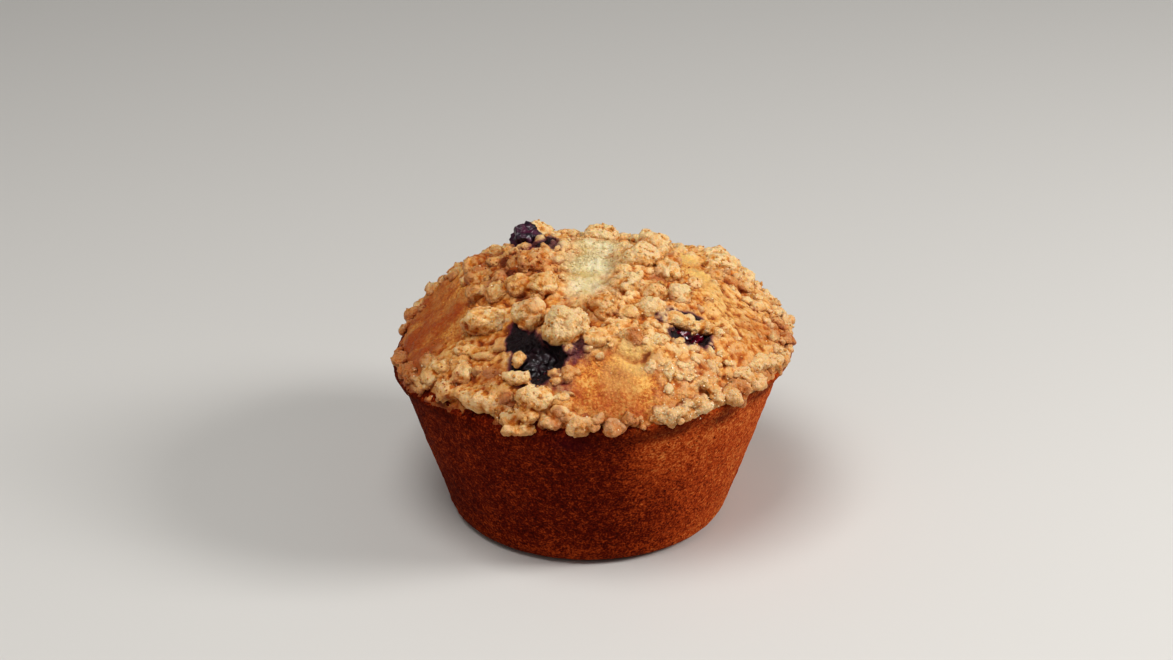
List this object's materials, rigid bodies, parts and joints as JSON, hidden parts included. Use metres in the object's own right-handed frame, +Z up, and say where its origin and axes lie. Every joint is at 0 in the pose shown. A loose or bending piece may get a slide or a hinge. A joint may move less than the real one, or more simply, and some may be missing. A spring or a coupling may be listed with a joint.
{
  "type": "muffin",
  "caption": "Baked jumbo muffin: tapered cup-shaped cake with a domed crown covered in lumpy crumb topping, with whole baked berries sunk in the crown.",
  "frame": {"origin": "on the table under the middle of the bounding box, at the middle of the muffin's flat base", "axes": "+Z up from the base to the crown; -Y towards the side with the sunken front berry, which is the viewed front; +X to the viewer's right"},
  "size_m": [0.0934, 0.0926, 0.0665],
  "materials": {
    "crust": "baked golden crust and dry crumb, matte",
    "berry": "wrinkled baked berry skin, moist and glossy"
  },
  "bodies": {
    "root": {"muffin": "crust", "berry_front": "berry", "berry_right": "berry", "berry_top": "berry"}
  },
  "joints": []
}
